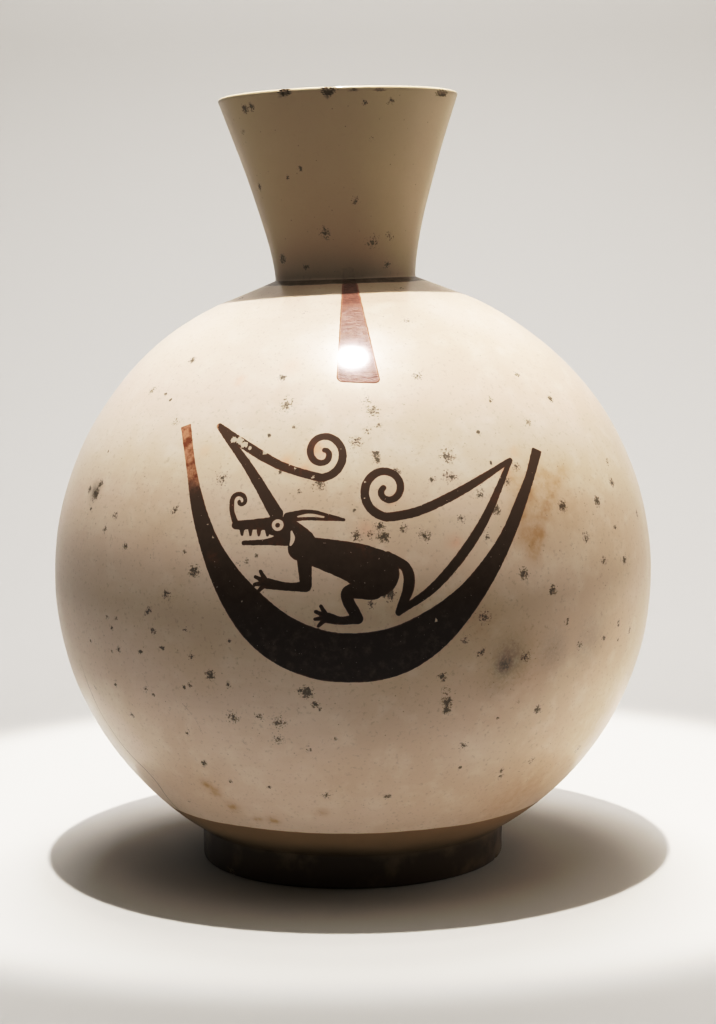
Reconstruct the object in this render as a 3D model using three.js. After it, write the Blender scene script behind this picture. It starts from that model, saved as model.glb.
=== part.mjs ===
// A round, hollow earthenware jar with a flaring neck and a low ring foot, built by hand in one piece.
// Millimetres, +Z up. The origin is on the belly's axis, on the surface that the foot stands on.
// The painted face looks along -Y.
import * as THREE from "three";

// Driving dimensions
const HEIGHT = 300; // standing surface to rim
const BELLY_RADIUS = 118;
const BELLY_HALF_HEIGHT = 117.3; // the belly is a sphere, very slightly squat
const BELLY_CENTRE = 114; // height of the widest ring
const RIM_RADIUS = 46.5;
const NECK_RADIUS = 27.4; // outside, where the neck meets the shoulder
const NECK_BASE = 229.1; // height of that ring
const FOOT_RADIUS = 60.4;
const FOOT_BASE_RADIUS = 60.0; // the foot's wall draws in a little towards the ground

// Walls
const BELLY_WALL = 5.5;
const NECK_WALL = 5; // at the neck's base
const LIP_WALL = 4;
const LIP_ROUNDING = 1.1;
const FOOT_WALL = 7.5;
const FOOT_ROUNDING = 1.2;
const RECESS = 6; // how far the underside stands off the ground inside the foot
const RECESS_FILLET = 2;
const FLOOR = 13.5; // height of the inside floor

// The shoulder leaves the round of the belly here and runs straight up to the neck
const SHOULDER_RADIUS = 50;
// The neck rises almost straight, then flares: its curve's middle control point
const NECK_BEND_RADIUS = 27.7;
const NECK_BEND_HEIGHT = 246;

// Hand building left the neck and the foot a little to one side of the belly's axis
const NECK_BASE_SHIFT = -1.1;
const RIM_SHIFT = -3.4;
const SHOULDER_SHIFT_START = 180; // height where the belly starts to lean after the neck
const FOOT_SHIFT = -1.7;
const FOOT_SHIFT_END = 45;
// It also left the neck a little out of level, higher on the +X side: rise per millimetre across
const NECK_TILT = 0.019;
const NECK_TILT_START = 205; // height where the shoulder starts to follow the neck's tilt

// How finely the round stretches are cut
const AROUND = 64;
const BELLY_STEPS = 24;
const INSIDE_STEPS = 14;
const NECK_STEPS = 9;
const INSIDE_NECK_STEPS = 5;
const EDGE_STEPS = 3;

// Points of an ellipse round the belly's centre, between two angles above the horizontal, in radians.
function bellyArc(radius, halfHeight, from, to, steps) {
  const clockwise = to < from;
  const curve = new THREE.EllipseCurve(0, BELLY_CENTRE, radius, halfHeight, from, to, clockwise);
  return curve.getPoints(steps);
}

// A quarter round between two straight stretches, from one angle to the other, in quarter turns.
function quarterRound(r, z, radius, from, to) {
  const turn = Math.PI / 2;
  const curve = new THREE.EllipseCurve(r, z, radius, radius, from * turn, to * turn, to < from);
  return curve.getPoints(EDGE_STEPS);
}

function neckCurve(base, bend, rim, steps) {
  return new THREE.QuadraticBezierCurve(base, bend, rim).getPoints(steps);
}

// The underside and the foot, from the axis outwards.
function footOutline() {
  const innerRadius = FOOT_RADIUS - FOOT_WALL;
  const fillet = quarterRound(innerRadius - RECESS_FILLET, RECESS - RECESS_FILLET, RECESS_FILLET, 1, 0);
  const innerEdge = quarterRound(innerRadius + FOOT_ROUNDING, FOOT_ROUNDING, FOOT_ROUNDING, 2, 3);
  const outerEdge = quarterRound(FOOT_BASE_RADIUS - FOOT_ROUNDING, FOOT_ROUNDING, FOOT_ROUNDING, -1, 0);
  return [new THREE.Vector2(0, RECESS), ...fillet, ...innerEdge, ...outerEdge];
}

// The outside of the belly, from the crease above the foot to the neck.
function bellyOutline() {
  const crease = -Math.acos(FOOT_RADIUS / BELLY_RADIUS);
  const shoulder = Math.acos(SHOULDER_RADIUS / BELLY_RADIUS);
  return bellyArc(BELLY_RADIUS, BELLY_HALF_HEIGHT, crease, shoulder, BELLY_STEPS);
}

// The neck's outside, the rounded lip and the neck's inside.
function neckOutline() {
  const lipTop = HEIGHT - LIP_ROUNDING;
  const outside = neckCurve(
    new THREE.Vector2(NECK_RADIUS, NECK_BASE),
    new THREE.Vector2(NECK_BEND_RADIUS, NECK_BEND_HEIGHT),
    new THREE.Vector2(RIM_RADIUS, lipTop),
    NECK_STEPS,
  );
  const lipInner = RIM_RADIUS - LIP_WALL;
  const outerEdge = quarterRound(RIM_RADIUS - LIP_ROUNDING, lipTop, LIP_ROUNDING, 0, 1).slice(1);
  const innerEdge = quarterRound(lipInner + LIP_ROUNDING, lipTop, LIP_ROUNDING, 1, 2).slice(0, -1);
  const throat = throatPoint();
  const inside = neckCurve(
    new THREE.Vector2(lipInner, lipTop),
    new THREE.Vector2(NECK_BEND_RADIUS - NECK_WALL, NECK_BEND_HEIGHT),
    throat,
    INSIDE_NECK_STEPS,
  );
  return [...outside, ...outerEdge, ...innerEdge, ...inside.slice(0, -1)];
}

// Where the neck's inside opens into the belly.
function throatPoint() {
  const radius = NECK_RADIUS - NECK_WALL;
  const inner = BELLY_RADIUS - BELLY_WALL;
  const angle = Math.acos(radius / inner);
  return new THREE.Vector2(radius, BELLY_CENTRE + (BELLY_HALF_HEIGHT - BELLY_WALL) * Math.sin(angle));
}

// The inside of the belly, from the throat down to the flat floor.
function insideOutline() {
  const radius = BELLY_RADIUS - BELLY_WALL;
  const halfHeight = BELLY_HALF_HEIGHT - BELLY_WALL;
  const throat = Math.acos((NECK_RADIUS - NECK_WALL) / radius);
  const floor = Math.asin((FLOOR - BELLY_CENTRE) / halfHeight);
  return [...bellyArc(radius, halfHeight, throat, floor, INSIDE_STEPS), new THREE.Vector2(0, FLOOR)];
}

// How far the clay stands to one side of the axis at a height.
function sideShift(z) {
  const foot = FOOT_SHIFT * (1 - THREE.MathUtils.smoothstep(z, 0, FOOT_SHIFT_END));
  const shoulder = NECK_BASE_SHIFT * THREE.MathUtils.smoothstep(z, SHOULDER_SHIFT_START, NECK_BASE);
  const aboveBase = Math.max(0, z - NECK_BASE) / (HEIGHT - NECK_BASE);
  return foot + shoulder + (RIM_SHIFT - NECK_BASE_SHIFT) * aboveBase;
}

// How far the clay stands above its level height, at a distance across from the neck's middle.
function neckRise(across, z) {
  return NECK_TILT * across * THREE.MathUtils.smoothstep(z, NECK_TILT_START, NECK_BASE);
}

function jarGeometry() {
  const outline = [...footOutline(), ...bellyOutline(), ...neckOutline(), ...insideOutline()];
  const geometry = new THREE.LatheGeometry(outline, AROUND);
  geometry.rotateX(Math.PI / 2);
  const position = geometry.getAttribute("position");
  for (let i = 0; i < position.count; i += 1) {
    const across = position.getX(i);
    const z = position.getZ(i);
    position.setX(i, across + sideShift(z));
    position.setZ(i, z + neckRise(across, z));
  }
  geometry.computeVertexNormals();
  return geometry;
}

const creamSlip = new THREE.MeshStandardMaterial({ color: 0xdccdb4, roughness: 0.45, metalness: 0 });

const jar = new THREE.Mesh(jarGeometry(), creamSlip);
jar.name = "jar";

const vessel = new THREE.Group();
vessel.add(jar);

export default vessel;
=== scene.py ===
# A round, hollow earthenware jar with a flaring neck and a low ring foot: cream slip, burnished by hand,
# with a crested beast in a crescent painted on its front. Sizes are in millimetres until a mesh is made.
# The painted face looks along -Y. Azimuth 0 is the front, and it grows towards +X.
import math
import bpy
import numpy as np
from mathutils import Matrix, Vector


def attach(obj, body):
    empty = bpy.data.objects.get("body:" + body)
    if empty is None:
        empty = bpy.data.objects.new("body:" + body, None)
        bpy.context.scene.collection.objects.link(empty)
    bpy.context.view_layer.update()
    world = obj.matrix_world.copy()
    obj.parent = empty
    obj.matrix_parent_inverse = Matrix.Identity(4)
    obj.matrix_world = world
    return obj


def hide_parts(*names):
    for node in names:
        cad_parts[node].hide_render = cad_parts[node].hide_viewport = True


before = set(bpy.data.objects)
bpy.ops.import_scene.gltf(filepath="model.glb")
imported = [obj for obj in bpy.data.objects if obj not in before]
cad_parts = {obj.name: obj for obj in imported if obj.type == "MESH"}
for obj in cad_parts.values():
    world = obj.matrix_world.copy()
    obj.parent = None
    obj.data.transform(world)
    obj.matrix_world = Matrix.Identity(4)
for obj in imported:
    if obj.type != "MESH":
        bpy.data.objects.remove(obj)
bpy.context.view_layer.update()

MM = 0.001

# The jar's form, which repeats the solid's own sizes
HEIGHT = 300.0
BELLY_RADIUS = 118.0
BELLY_HALF_HEIGHT = 117.3
BELLY_CENTRE = 114.0
RIM_RADIUS = 46.5
NECK_RADIUS = 27.4
NECK_BASE = 229.1
NECK_BEND_RADIUS = 27.7
NECK_BEND_HEIGHT = 246.0
FOOT_RADIUS = 60.4
FOOT_BASE_RADIUS = 60.0
SHOULDER_RADIUS = 50.0
BELLY_WALL = 5.5
NECK_WALL = 5.0
LIP_WALL = 4.0
LIP_ROUNDING = 1.1
FOOT_WALL = 7.5
FOOT_ROUNDING = 1.2
RECESS = 6.0
RECESS_FILLET = 2.0
FLOOR = 13.5

# The neck and the foot stand a little to one side of the belly's axis
NECK_BASE_SHIFT = -1.1
RIM_SHIFT = -3.4
SHOULDER_SHIFT_START = 180.0
FOOT_SHIFT = -1.7
FOOT_SHIFT_END = 45.0
# The neck is a little out of level, higher on the +X side: rise per millimetre across
NECK_TILT = 0.019
NECK_TILT_START = 205.0

# The mesh: a coarse net of rings and columns, split by halves where the painting needs it
COLUMNS = 160
WIDEST_ROW = 4.6
NARROWEST_ROW = 0.45
ROW_GROWTH = 0.33
# A cell this near the painting's edge is split, in cell widths, at each round of halving
EDGE_REACH = (1.0, 0.8, 0.75, 0.2)
SPLITS = len(EDGE_REACH)
# The net is split as far as this past the rim, in mm
SPLIT_PAST_RIM = 6.0
# Chips, blots and flakes are split in the first rounds alone, and loose clusters in fewer
MARK_SPLITS = 3
CLUSTER_SPLITS = 2
CAP_RADIUS = 4.0
PROFILE_STEP = 0.2
ARC_STEPS = 400
BEND_STEPS = 200
QUARTER_STEPS = 24
CORNER_SOFTNESS = 3


def smoothstep(low, high, value):
    t = np.clip((np.asarray(value, float) - low) / (high - low), 0.0, 1.0)
    return t * t * (3.0 - 2.0 * t)


def side_shift(z):
    """How far the clay stands to one side of the axis at a height."""
    foot = FOOT_SHIFT * (1.0 - smoothstep(0.0, FOOT_SHIFT_END, z))
    shoulder = NECK_BASE_SHIFT * smoothstep(SHOULDER_SHIFT_START, NECK_BASE, z)
    above_base = np.maximum(0.0, np.asarray(z, float) - NECK_BASE) / (HEIGHT - NECK_BASE)
    return foot + shoulder + (RIM_SHIFT - NECK_BASE_SHIFT) * above_base


def neck_rise(across, z):
    """How far the clay stands above its level height, at a distance across from the neck's middle."""
    return NECK_TILT * across * smoothstep(NECK_TILT_START, NECK_BASE, z)


# The profile

def arc(radius, half_height, start, end, centre=(0.0, BELLY_CENTRE), steps=ARC_STEPS):
    angle = np.linspace(start, end, steps)
    return np.stack([centre[0] + radius * np.cos(angle), centre[1] + half_height * np.sin(angle)], 1)


def bend(start, middle, end):
    """A curve that leaves its start towards the middle point and comes from there to its end."""
    t = np.linspace(0.0, 1.0, BEND_STEPS)[:, None]
    return (1 - t) ** 2 * np.array(start) + 2 * t * (1 - t) * np.array(middle) + t ** 2 * np.array(end)


def quarter(r, z, radius, first, last):
    return arc(radius, radius, first * math.pi / 2, last * math.pi / 2, (r, z), QUARTER_STEPS)


def profile_sections():
    """The section's outline, from the middle of the underside round to the middle of the inside floor."""
    inner_foot = FOOT_RADIUS - FOOT_WALL
    lip_top = HEIGHT - LIP_ROUNDING
    lip_inner = RIM_RADIUS - LIP_WALL
    inside_radius = BELLY_RADIUS - BELLY_WALL
    inside_half = BELLY_HALF_HEIGHT - BELLY_WALL
    throat_radius = NECK_RADIUS - NECK_WALL
    throat = math.acos(throat_radius / inside_radius)
    floor = math.asin((FLOOR - BELLY_CENTRE) / inside_half)
    throat_point = (throat_radius, BELLY_CENTRE + inside_half * math.sin(throat))
    underside = np.concatenate([
        [(CAP_RADIUS, RECESS)],
        quarter(inner_foot - RECESS_FILLET, RECESS - RECESS_FILLET, RECESS_FILLET, 1, 0),
        quarter(inner_foot + FOOT_ROUNDING, FOOT_ROUNDING, FOOT_ROUNDING, 2, 3),
    ])
    foot = quarter(FOOT_BASE_RADIUS - FOOT_ROUNDING, FOOT_ROUNDING, FOOT_ROUNDING, -1, 0)
    belly = arc(BELLY_RADIUS, BELLY_HALF_HEIGHT, -math.acos(FOOT_RADIUS / BELLY_RADIUS),
                math.acos(SHOULDER_RADIUS / BELLY_RADIUS))
    neck = bend((NECK_RADIUS, NECK_BASE), (NECK_BEND_RADIUS, NECK_BEND_HEIGHT), (RIM_RADIUS, lip_top))
    lip = np.concatenate([
        quarter(RIM_RADIUS - LIP_ROUNDING, lip_top, LIP_ROUNDING, 0, 1),
        quarter(lip_inner + LIP_ROUNDING, lip_top, LIP_ROUNDING, 1, 2),
    ])
    neck_inside = bend((lip_inner, lip_top), (NECK_BEND_RADIUS - NECK_WALL, NECK_BEND_HEIGHT), throat_point)
    inside = np.concatenate([arc(inside_radius, inside_half, throat, floor), [(CAP_RADIUS, FLOOR)]])
    return [underside, foot, belly, neck, lip, neck_inside, inside]


def even_steps(points, step):
    length = np.concatenate([[0.0], np.cumsum(np.hypot(*np.diff(points, axis=0).T))])
    keep = np.concatenate([[True], np.diff(length) > 1e-6])
    length, points = length[keep], points[keep]
    at = np.linspace(0.0, length[-1], int(length[-1] / step) + 1)
    return at, np.stack([np.interp(at, length, points[:, i]) for i in (0, 1)], 1)


def soften(points, rounds):
    """Rounds the outline's corners a little, as a wet thumb does. The two ends stay."""
    for _ in range(rounds):
        between = (points[:-2] + 2 * points[1:-1] + points[2:]) / 4
        points = np.concatenate([points[:1], between, points[-1:]])
    return points


class Profile:
    """The outline by arc length, with the places of its corners."""

    def __init__(self):
        sections = profile_sections()
        self.at, points = even_steps(np.concatenate(sections), PROFILE_STEP)
        self.points = soften(points, CORNER_SOFTNESS)
        self.ends = [self.nearest(s[-1]) for s in sections[:-1]]
        self.starts = [self.nearest(s[0]) for s in sections[1:]]
        self.rim = self.nearest((RIM_RADIUS - LIP_WALL / 2, HEIGHT))
        inner_edge = self.nearest((FOOT_RADIUS - FOOT_WALL, FOOT_ROUNDING))
        recess = self.nearest((FOOT_RADIUS - FOOT_WALL, RECESS))
        floor_edge = self.nearest((BELLY_RADIUS * 0.5, FLOOR), after=self.rim)
        self.corners = np.array(self.ends + self.starts + [self.rim, inner_edge, recess, floor_edge])
        outside = (self.at > self.ends[0]) & (self.at < self.rim)
        self.outer_z = self.points[outside, 1]
        self.outer_r = self.points[outside, 0]

    def nearest(self, point, after=0.0):
        gap = np.hypot(*(self.points - np.array(point)).T) + np.where(self.at < after, 1e6, 0.0)
        return self.at[int(gap.argmin())]

    def __call__(self, at):
        return np.interp(at, self.at, self.points[:, 0]), np.interp(at, self.at, self.points[:, 1])

    def rows(self):
        """Arc lengths of the coarse rings: close together at corners, wide apart between them."""
        gap = np.abs(self.at[:, None] - self.corners).min(1)
        spacing = np.minimum(WIDEST_ROW, NARROWEST_ROW + ROW_GROWTH * gap)
        count = np.concatenate([[0.0], np.cumsum(PROFILE_STEP / spacing[1:])])
        wanted = np.linspace(0.0, count[-1], int(count[-1]) + 1)
        return np.interp(wanted, count, self.at)

    def outer_radius(self, z):
        return np.interp(z, self.outer_z, self.outer_r)


profile = Profile()


# The surface

def waver(azimuth, z):
    """The small unevenness that hand building leaves in the wall, outwards, in mm."""
    return (0.22 * np.sin(2 * azimuth + 0.7 + 0.011 * z) + 0.12 * np.sin(3 * azimuth - 1.1 + 0.03 * z)
            + 0.07 * np.sin(7 * azimuth + 0.05 * z) + 0.05 * np.sin(0.21 * z + 2 * np.sin(azimuth)))


# The unevenness fades out below this height and within this radius
FADE_HEIGHT = 6.0
FADE_RADIUS = 30.0
# Chips in the lip: azimuth in degrees, half width and half height in mm, depth in mm
RIM_CHIPS = [
    (-25.0, 2.3, 1.7, 0.5),
    (-3.9, 2.4, 2.2, 0.45),
    (60.0, 4.2, 1.2, 0.4),
    (8.0, 1.0, 0.5, 0.3),
    (20.0, 2.2, 0.5, 0.25),
    (128.0, 2.8, 2.2, 0.9),
    (-141.0, 1.6, 1.8, 0.8),
]
CHIP_CENTRE_Z = 298.6
# Chips in the foot's lower edge, the same way
FOOT_CHIPS = [(-52.0, 3.0, 1.6, 0.6), (71.0, 2.4, 1.4, 0.5), (160.0, 4.0, 2.0, 0.8)]
FOOT_CHIP_Z = 1.0
# How far a chip lowers the lip, for its depth
RIM_DROP = 0.55
# The net is split where more than this share of chipped clay shows
LEAST_SHOWN = 0.02


def chip_depth(points, chips, radius, centre_z):
    """How deep the chips go at each point, and how much of the chipped clay shows there, 0 to 1."""
    depth = np.zeros(len(points))
    shown = np.zeros(len(points))
    for degrees, half_width, half_height, deepest in chips:
        angle = math.radians(degrees)
        shift = float(side_shift(centre_z))
        centre = np.array([radius * math.sin(angle) + shift, -radius * math.cos(angle)])
        across = np.hypot(points[:, 0] - centre[0], points[:, 1] - centre[1]) / half_width
        up = np.abs(points[:, 2] - centre_z) / half_height
        ragged = 0.16 * np.sin(5.1 * points[:, 0] + 3.3 * points[:, 2]) + 0.12 * np.sin(8.7 * points[:, 2])
        inside = 1.0 - np.sqrt(across ** 2 + up ** 2) + ragged
        depth = np.maximum(depth, deepest * smoothstep(0.0, 0.55, inside))
        shown = np.maximum(shown, min(1.0, 1.8 * deepest) * smoothstep(-0.12, 0.12, inside))
    return depth, shown


def all_chips(points):
    """How deep the lip's chips and the foot's go, and how much chipped clay shows."""
    rim, rim_shown = chip_depth(points, RIM_CHIPS, RIM_RADIUS, CHIP_CENTRE_Z)
    foot, foot_shown = chip_depth(points, FOOT_CHIPS, FOOT_RADIUS, FOOT_CHIP_Z)
    return rim, foot, np.maximum(rim_shown, foot_shown)


def surface(azimuth, at, with_chips=True, uneven=True):
    """Points in mm on the jar's skin, inside or outside, for azimuths and arc lengths along the profile."""
    radius, z = profile(at)
    azimuth = np.asarray(azimuth, float)
    share = smoothstep(0.0, FADE_HEIGHT, z) * smoothstep(CAP_RADIUS, FADE_RADIUS, radius)
    r = radius + share * waver(azimuth, z) * uneven
    across = r * np.sin(azimuth)
    points = np.stack([across + side_shift(z), -r * np.cos(azimuth), z + neck_rise(across, z)], 1)
    if with_chips:
        rim, foot, _ = all_chips(points)
        inward = rim + foot
        points[:, 0] -= inward * np.sin(azimuth)
        points[:, 1] += inward * np.cos(azimuth)
        points[:, 2] -= RIM_DROP * rim
    return points


def on_outside(x, z):
    """The outer skin's point seen at x and z from the front."""
    r = profile.outer_radius(z)
    local = np.clip((x - side_shift(z)) / r, -1.0, 1.0)
    return np.stack([np.asarray(x, float), -r * np.sqrt(1.0 - local ** 2), np.asarray(z, float)], -1)


# The painting. A stroke is a row of (x, z, half width) in mm, as seen from the front. The beast has a long
# snout, a swept-back ear, and a crest and a tail that each end in a spiral.
CURL_STEPS = 22
CURL_TIGHTNESS = 0.85


def curl(x, z, radius, start, turns, width):
    """A spiral that winds inwards round (x, z) from an angle in degrees; negative turns go clockwise."""
    points = []
    for step in range(CURL_STEPS + 1):
        t = step / CURL_STEPS
        angle = math.radians(start + 360.0 * turns * t)
        r = radius * (1.0 - CURL_TIGHTNESS * t)
        points.append((x + r * math.cos(angle), z + r * math.sin(angle), width * (1.0 - 0.35 * t)))
    return points


def claws(x, z, length):
    """Four short toes, spread like a fan towards -X."""
    toes = []
    for degrees in (120.0, 155.0, 190.0, 225.0):
        angle = math.radians(degrees)
        tip = (x + length * math.cos(angle), z + length * math.sin(angle), 0.6)
        toes.append([(x, z, 1.0), tip])
    return toes


CREST_ARM = [(-26.0, 148.4, 2.4), (-35.5, 163.7, 1.7), (-46.6, 177.8, 1.1)]
CREST_CURL = [
    (-46.6, 177.8, 1.1), (-36.5, 171.2, 1.75), (-24.5, 164.8, 1.6),
    *curl(-9.6, 168.9, 8.2, -105.0, 1.45, 1.5),
]
TAIL_DROP = [(12.4, 134.0, 1.5), (18.6, 129.6, 1.8), (19.4, 123.0, 2.0), (15.9, 114.4, 1.2)]
TAIL_RISE = [(15.9, 114.3, 1.1), (30.0, 124.2, 1.65), (45.0, 142.0, 1.7), (56.9, 164.4, 0.9)]
TAIL_CURL = [
    (56.9, 164.4, 0.9), (39.0, 155.2, 1.55), (24.0, 149.0, 1.6),
    *curl(12.4, 156.3, 9.2, -82.0, -1.35, 1.6),
]
SNOUT_CURL = [(-40.4, 145.0, 1.1), (-41.7, 149.0, 0.9), *curl(-38.7, 152.6, 3.0, 185.0, -1.0, 0.9)]
TORSO = [(-18.0, 136.8, 4.2), (-8.0, 134.5, 5.6), (1.5, 131.6, 7.0), (8.0, 128.2, 8.3)]
HIND_LEG = [(7.0, 123.0, 4.0), (-1.8, 121.2, 2.2), (1.4, 113.0, 2.0)]
HIND_FOOT = [(1.8, 112.5, 1.8), (-4.0, 111.9, 1.4), (-8.6, 112.9, 1.9)]
UPPER_ARM = [(-16.5, 134.0, 2.7), (-16.0, 124.2, 2.0)]
FOREARM = [(-16.1, 123.7, 1.8), (-22.5, 123.7, 1.4), (-29.2, 124.6, 1.9)]
SKULL = [(-22.8, 143.6, 3.6), (-26.6, 144.6, 3.6)]
SNOUT = [(-27.0, 145.2, 2.4), (-34.0, 144.8, 1.8), (-40.4, 144.4, 1.5)]
JAW = [(-37.6, 138.4, 0.8), (-29.6, 138.9, 1.1), (-22.4, 140.2, 2.6)]
TEETH = [-38.2, -35.2, -32.2, -29.2]
TOOTH = [(142.8, 0.8), (141.2, 0.5)]
EAR = [(-22.0, 147.4, 1.7), (-15.0, 148.2, 1.9), (-8.5, 147.4, 1.3), (-2.6, 146.5, 0.5)]
NAPE = [(-20.0, 143.4, 2.8), (-16.4, 139.6, 3.6), (-15.6, 136.6, 3.9)]
STROKES = [
    CREST_ARM, CREST_CURL, TAIL_DROP, TAIL_RISE, TAIL_CURL, SNOUT_CURL, TORSO, HIND_LEG, HIND_FOOT,
    UPPER_ARM, FOREARM, SKULL, SNOUT, JAW, EAR, NAPE,
    *claws(-8.8, 113.2, 4.4), *claws(-29.6, 125.0, 4.4),
    *[[(x, z, width) for z, width in TOOTH] for x in TEETH],
]
# Slip left bare inside the beast's head
EYE = (-25.6, 144.7)
EYE_RING = 2.1
PUPIL = 0.85
BARE_STROKES = [
    [(-20.8, 142.6, 0.4), (-20.4, 140.2, 0.8), (-21.2, 138.0, 0.4)],
    [(-18.6, 147.6, 0.3), (-14.2, 148.1, 0.6), (-9.6, 147.5, 0.3)],
]
# The crescent's two edges, from the left horn's tip round to the right horn's
CRESCENT_OUTER = [
    (-60.9, 177.0), (-58.3, 162.9), (-56.0, 147.3), (-51.6, 131.6), (-46.0, 117.8), (-38.1, 105.6),
    (-27.4, 96.6), (-14.2, 91.2), (-1.7, 89.8), (9.8, 90.5), (21.4, 94.3), (33.0, 102.6),
    (43.0, 114.1), (51.9, 127.6), (58.8, 141.0), (64.1, 154.0), (68.9, 166.4),
]
CRESCENT_INNER = [
    (65.4, 168.2), (62.4, 159.2), (58.7, 151.7), (52.8, 140.2), (45.0, 130.0), (36.0, 121.2),
    (25.0, 114.1), (12.8, 109.0), (0.3, 107.4), (-10.4, 108.6), (-20.8, 112.8), (-29.7, 119.3),
    (-38.4, 127.9), (-45.8, 138.0), (-50.9, 149.4), (-54.9, 164.0), (-57.2, 178.3),
]
STROKE_STEP = 0.55
EDGE_STEP = 0.8
# Distances are kept up to this many mm
FAR = 6.0
# Points measured at a time, to keep the tables small
BATCH = 4000


def smooth_line(points, step):
    """Even steps along a smooth curve through the points; every column of them is carried along."""
    points = np.array(points, float)
    if len(points) == 2:
        steps = max(2, int(np.hypot(*(points[1] - points[0])[:2]) / step) + 1)
        t = np.linspace(0.0, 1.0, steps)[:, None]
        return points[0] * (1 - t) + points[1] * t
    padded = np.concatenate([[2 * points[0] - points[1]], points, [2 * points[-1] - points[-2]]])
    pieces = []
    for a, b, c, d in zip(padded, padded[1:], padded[2:], padded[3:]):
        steps = max(2, int(np.hypot(*(c - b)[:2]) / step) + 1)
        t = np.linspace(0.0, 1.0, steps, endpoint=False)[:, None]
        pieces.append(0.5 * (2 * b + (c - a) * t + (2 * a - 5 * b + 4 * c - d) * t ** 2
                             + (3 * b - a - 3 * c + d) * t ** 3))
    return np.concatenate(pieces + [points[-1:]])


def to_line(points, line, widths):
    """Distance of 3-D points to a line of short segments, less its half width there."""
    best = np.full(len(points), FAR)
    low, high = line.min(0) - FAR - widths.max(), line.max(0) + FAR + widths.max()
    near = np.flatnonzero(((points > low) & (points < high)).all(1))
    start, run = line[:-1], np.diff(line, axis=0)
    square = np.maximum((run ** 2).sum(1), 1e-9)
    for first in range(0, len(near), BATCH):
        part = near[first:first + BATCH]
        offset = points[part][:, None] - start
        t = np.clip((offset * run).sum(2) / square, 0.0, 1.0)
        half_width = widths[:-1] * (1 - t) + widths[1:] * t
        gap = np.sqrt(((offset - t[..., None] * run) ** 2).sum(2)) - half_width
        best[part] = np.minimum(best[part], gap.min(1))
    return best


def stroke_distance(points, stroke):
    line = smooth_line(stroke, STROKE_STEP)
    return to_line(points, on_outside(line[:, 0], line[:, 1]), line[:, 2])


def inside_outline(points, outline):
    """True where a point, seen from the front, is inside a closed outline."""
    x, z = points[:, 0], points[:, 2]
    inside = np.zeros(len(points), bool)
    for (x0, z0), (x1, z1) in zip(outline, np.roll(outline, -1, axis=0)):
        crosses = (z0 > z) != (z1 > z)
        if crosses.any():
            inside ^= crosses & (x < (x1 - x0) * (z - z0) / (z1 - z0 + 1e-12) + x0)
    return inside


def crescent_distance(points):
    edges = (CRESCENT_OUTER, CRESCENT_INNER)
    outline = np.concatenate([smooth_line(edge, EDGE_STEP) for edge in edges])
    closed = np.concatenate([outline, outline[:1]])
    gap = to_line(points, on_outside(closed[:, 0], closed[:, 1]), np.zeros(len(closed)))
    return np.where(inside_outline(points, outline), -gap, gap)


def painting_distance(points):
    """Signed distance in mm to the edge of the dark painting, negative in the paint."""
    distance = crescent_distance(points)
    beast = np.full(len(points), FAR)
    for stroke in STROKES:
        beast = np.minimum(beast, stroke_distance(points, stroke))
    for stroke in BARE_STROKES:
        beast = np.maximum(beast, -stroke_distance(points, stroke))
    eye = np.linalg.norm(points - on_outside(*EYE), axis=1)
    beast = np.minimum(np.maximum(beast, EYE_RING - eye), np.maximum(eye - PUPIL, -FAR))
    distance = np.minimum(distance, beast)
    return np.where(points[:, 1] < 0, distance, FAR)


# The stripe that widens downwards from the neck's base: x of its two edges at its top and bottom
STRIPE_TOP_Z = 224.6
STRIPE_BOTTOM_Z = 192.5
STRIPE_LEFT = (-2.6, -4.8)
STRIPE_RIGHT = (3.9, 11.1)
# The rounding of its two lower corners, and how its lower end slants
STRIPE_CORNER = 2.5
STRIPE_MIDDLE = 3.0
STRIPE_SLANT = -0.05
# Along the skin the shoulder is longer than its height by this much
SHOULDER_SLOPE = 1.4


def stripe_distance(points):
    """Signed distance in mm to the stripe's edge, negative inside it."""
    down = (STRIPE_TOP_Z - points[:, 2]) / (STRIPE_TOP_Z - STRIPE_BOTTOM_Z)
    left = STRIPE_LEFT[0] + (STRIPE_LEFT[1] - STRIPE_LEFT[0]) * down
    right = STRIPE_RIGHT[0] + (STRIPE_RIGHT[1] - STRIPE_RIGHT[0]) * down
    slant = STRIPE_SLANT * (points[:, 0] - STRIPE_MIDDLE)
    low = (STRIPE_BOTTOM_Z - points[:, 2] + slant) * SHOULDER_SLOPE
    side = np.maximum(left - points[:, 0], points[:, 0] - right)
    past_side = np.maximum(side + STRIPE_CORNER, 0.0)
    past_end = np.maximum(low + STRIPE_CORNER, 0.0)
    corner = np.hypot(past_side, past_end) - STRIPE_CORNER
    distance = np.where(np.maximum(side, low) > -STRIPE_CORNER, corner, np.maximum(side, low))
    front = (points[:, 1] < 0) & (points[:, 2] > BELLY_CENTRE) & (points[:, 2] < NECK_BASE + 4)
    return np.where(front, np.clip(distance, -FAR, FAR), FAR)


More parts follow.
